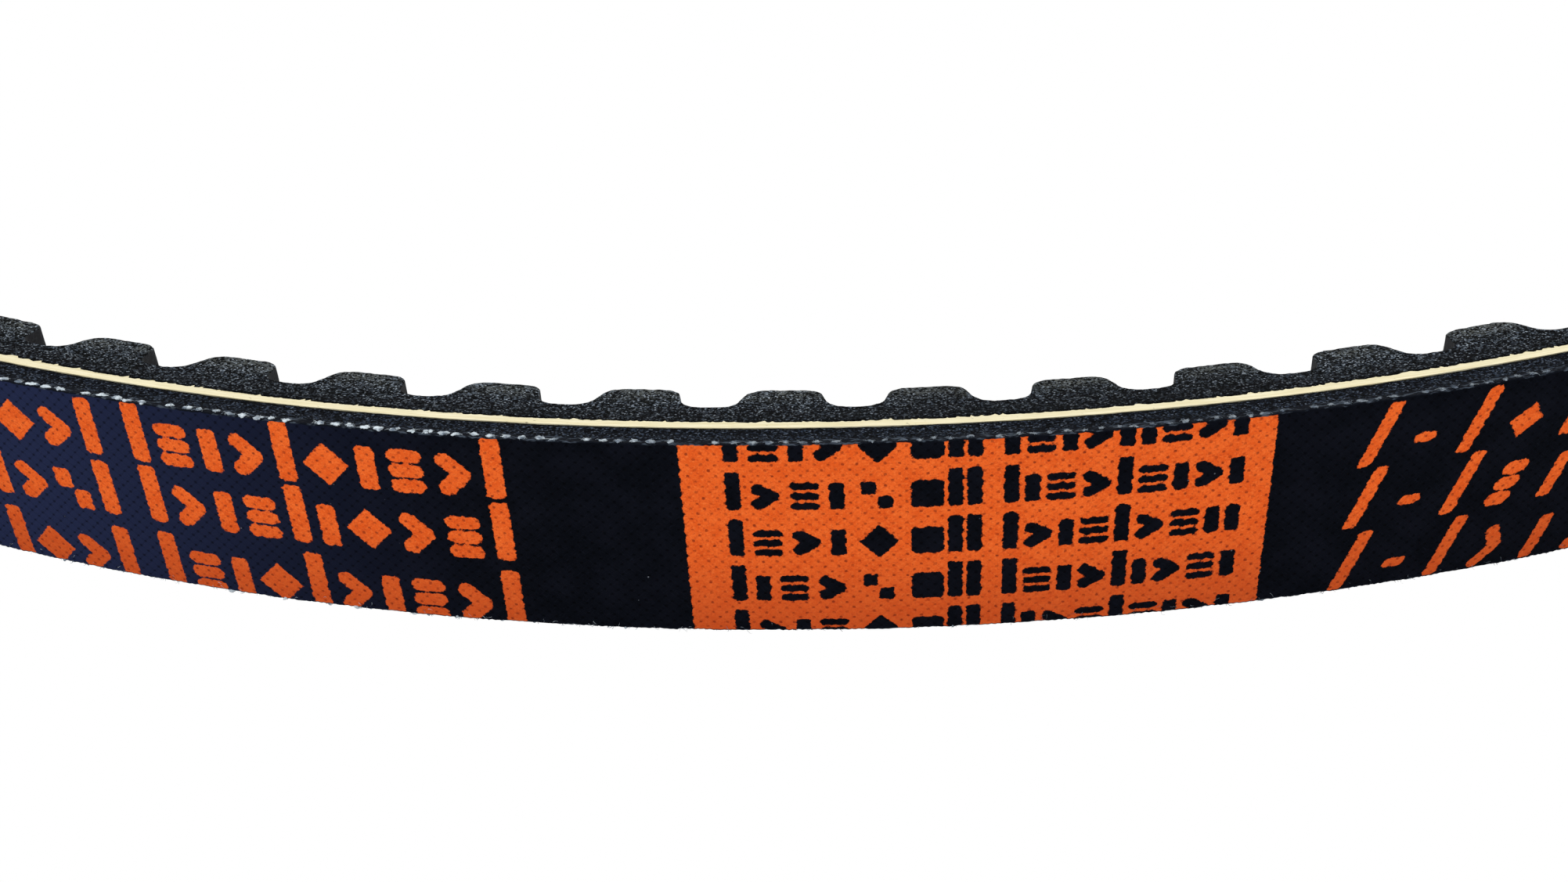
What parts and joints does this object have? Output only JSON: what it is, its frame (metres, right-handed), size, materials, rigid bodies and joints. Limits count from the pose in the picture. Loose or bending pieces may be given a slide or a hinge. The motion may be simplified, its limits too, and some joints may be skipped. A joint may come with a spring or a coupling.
{
  "type": "cogged v belt",
  "caption": "Raw-edge cogged V belt: an endless loop with a woven back cover, tension rubber, tensile cords and moulded cogs on the inside.",
  "frame": {"origin": "centre of the loop at mid-width, with the loop held round", "axes": "+Z along the loop axis, which is the direction of the sheave shafts; the printed stretch of the back face looks towards -Y"},
  "size_m": [0.2994, 0.2994, 0.013],
  "materials": {
    "back_fabric": "rubberised woven cover, matt, with an orange ink print",
    "tension_rubber": "cut rubber, matt",
    "tensile_cord": "cut polyester cord, matt",
    "cogged_rubber": "fibre-loaded moulded rubber, matt"
  },
  "bodies": {
    "front_span": {"back_fabric_front": "back_fabric", "tension_rubber_front": "tension_rubber", "tensile_cords_front": "tensile_cord", "cogged_rubber_front": "cogged_rubber"},
    "right_1_span": {"back_fabric_right_1": "back_fabric", "tension_rubber_right_1": "tension_rubber", "tensile_cords_right_1": "tensile_cord", "cogged_rubber_right_1": "cogged_rubber"},
    "right_2_span": {"back_fabric_right_2": "back_fabric", "tension_rubber_right_2": "tension_rubber", "tensile_cords_right_2": "tensile_cord", "cogged_rubber_right_2": "cogged_rubber"},
    "right_3_span": {"back_fabric_right_3": "back_fabric", "tension_rubber_right_3": "tension_rubber", "tensile_cords_right_3": "tensile_cord", "cogged_rubber_right_3": "cogged_rubber"},
    "right_4_span": {"back_fabric_right_4": "back_fabric", "tension_rubber_right_4": "tension_rubber", "tensile_cords_right_4": "tensile_cord", "cogged_rubber_right_4": "cogged_rubber"},
    "right_5_span": {"back_fabric_right_5": "back_fabric", "tension_rubber_right_5": "tension_rubber", "tensile_cords_right_5": "tensile_cord", "cogged_rubber_right_5": "cogged_rubber"},
    "right_6_span": {"back_fabric_right_6": "back_fabric", "tension_rubber_right_6": "tension_rubber", "tensile_cords_right_6": "tensile_cord", "cogged_rubber_right_6": "cogged_rubber"},
    "left_1_span": {"back_fabric_left_1": "back_fabric", "tension_rubber_left_1": "tension_rubber", "tensile_cords_left_1": "tensile_cord", "cogged_rubber_left_1": "cogged_rubber"},
    "left_2_span": {"back_fabric_left_2": "back_fabric", "tension_rubber_left_2": "tension_rubber", "tensile_cords_left_2": "tensile_cord", "cogged_rubber_left_2": "cogged_rubber"},
    "left_3_span": {"back_fabric_left_3": "back_fabric", "tension_rubber_left_3": "tension_rubber", "tensile_cords_left_3": "tensile_cord", "cogged_rubber_left_3": "cogged_rubber"},
    "left_4_span": {"back_fabric_left_4": "back_fabric", "tension_rubber_left_4": "tension_rubber", "tensile_cords_left_4": "tensile_cord", "cogged_rubber_left_4": "cogged_rubber"},
    "left_5_span": {"back_fabric_left_5": "back_fabric", "tension_rubber_left_5": "tension_rubber", "tensile_cords_left_5": "tensile_cord", "cogged_rubber_left_5": "cogged_rubber"},
    "left_6_span": {"back_fabric_left_6": "back_fabric", "tension_rubber_left_6": "tension_rubber", "tensile_cords_left_6": "tensile_cord", "cogged_rubber_left_6": "cogged_rubber"}
  },
  "joints": [
    {"name": "flex_right_1", "type": "hinge", "parent": "front_span", "child": "right_1_span", "pos_m": [0.05606, -0.13535, 0], "axis": [0, 0, 1], "range_deg": [-15.91, 15.91]},
    {"name": "loop_flex", "type": "hinge", "parent": "right_1_span", "child": "right_2_span", "pos_m": [0.10359, -0.10359, 0], "axis": [0, 0, 1], "range_deg": [-22.5, 22.5]},
    {"name": "flex_right_3", "type": "hinge", "parent": "right_2_span", "child": "right_3_span", "pos_m": [0.13535, -0.05606, 0], "axis": [0, 0, 1], "range_deg": [-15.91, 15.91]},
    {"name": "flex_right_4", "type": "hinge", "parent": "right_3_span", "child": "right_4_span", "pos_m": [0.13535, 0.05606, 0], "axis": [0, 0, 1], "range_deg": [-15.91, 15.91]},
    {"name": "flex_right_5", "type": "hinge", "parent": "right_4_span", "child": "right_5_span", "pos_m": [0.10359, 0.10359, 0], "axis": [0, 0, 1], "range_deg": [-22.5, 22.5]},
    {"name": "flex_right_6", "type": "hinge", "parent": "right_5_span", "child": "right_6_span", "pos_m": [0.05606, 0.13535, 0], "axis": [0, 0, 1], "range_deg": [-15.91, 15.91]},
    {"name": "flex_left_1", "type": "hinge", "parent": "front_span", "child": "left_1_span", "pos_m": [-0.05606, -0.13535, 0], "axis": [0, 0, 1], "range_deg": [-15.91, 15.91]},
    {"name": "flex_left_2", "type": "hinge", "parent": "left_1_span", "child": "left_2_span", "pos_m": [-0.10359, -0.10359, 0], "axis": [0, 0, 1], "range_deg": [-22.5, 22.5]},
    {"name": "flex_left_3", "type": "hinge", "parent": "left_2_span", "child": "left_3_span", "pos_m": [-0.13535, -0.05606, 0], "axis": [0, 0, 1], "range_deg": [-15.91, 15.91]},
    {"name": "flex_left_4", "type": "hinge", "parent": "left_3_span", "child": "left_4_span", "pos_m": [-0.13535, 0.05606, 0], "axis": [0, 0, 1], "range_deg": [-15.91, 15.91]},
    {"name": "flex_left_5", "type": "hinge", "parent": "left_4_span", "child": "left_5_span", "pos_m": [-0.10359, 0.10359, 0], "axis": [0, 0, 1], "range_deg": [-22.5, 22.5]},
    {"name": "flex_left_6", "type": "hinge", "parent": "left_5_span", "child": "left_6_span", "pos_m": [-0.05606, 0.13535, 0], "axis": [0, 0, 1], "range_deg": [-15.91, 15.91]}
  ],
  "couplings": [
    {"joint": "flex_right_1", "follows": "loop_flex", "ratio": 0.70711},
    {"joint": "flex_right_3", "follows": "loop_flex", "ratio": 0.70711},
    {"joint": "flex_right_4", "follows": "loop_flex", "ratio": -0.70711},
    {"joint": "flex_right_5", "follows": "loop_flex", "ratio": -1},
    {"joint": "flex_right_6", "follows": "loop_flex", "ratio": -0.70711},
    {"joint": "flex_left_1", "follows": "loop_flex", "ratio": 0.70711},
    {"joint": "flex_left_2", "follows": "loop_flex", "ratio": 1},
    {"joint": "flex_left_3", "follows": "loop_flex", "ratio": 0.70711},
    {"joint": "flex_left_4", "follows": "loop_flex", "ratio": -0.70711},
    {"joint": "flex_left_5", "follows": "loop_flex", "ratio": -1},
    {"joint": "flex_left_6", "follows": "loop_flex", "ratio": -0.70711}
  ]
}
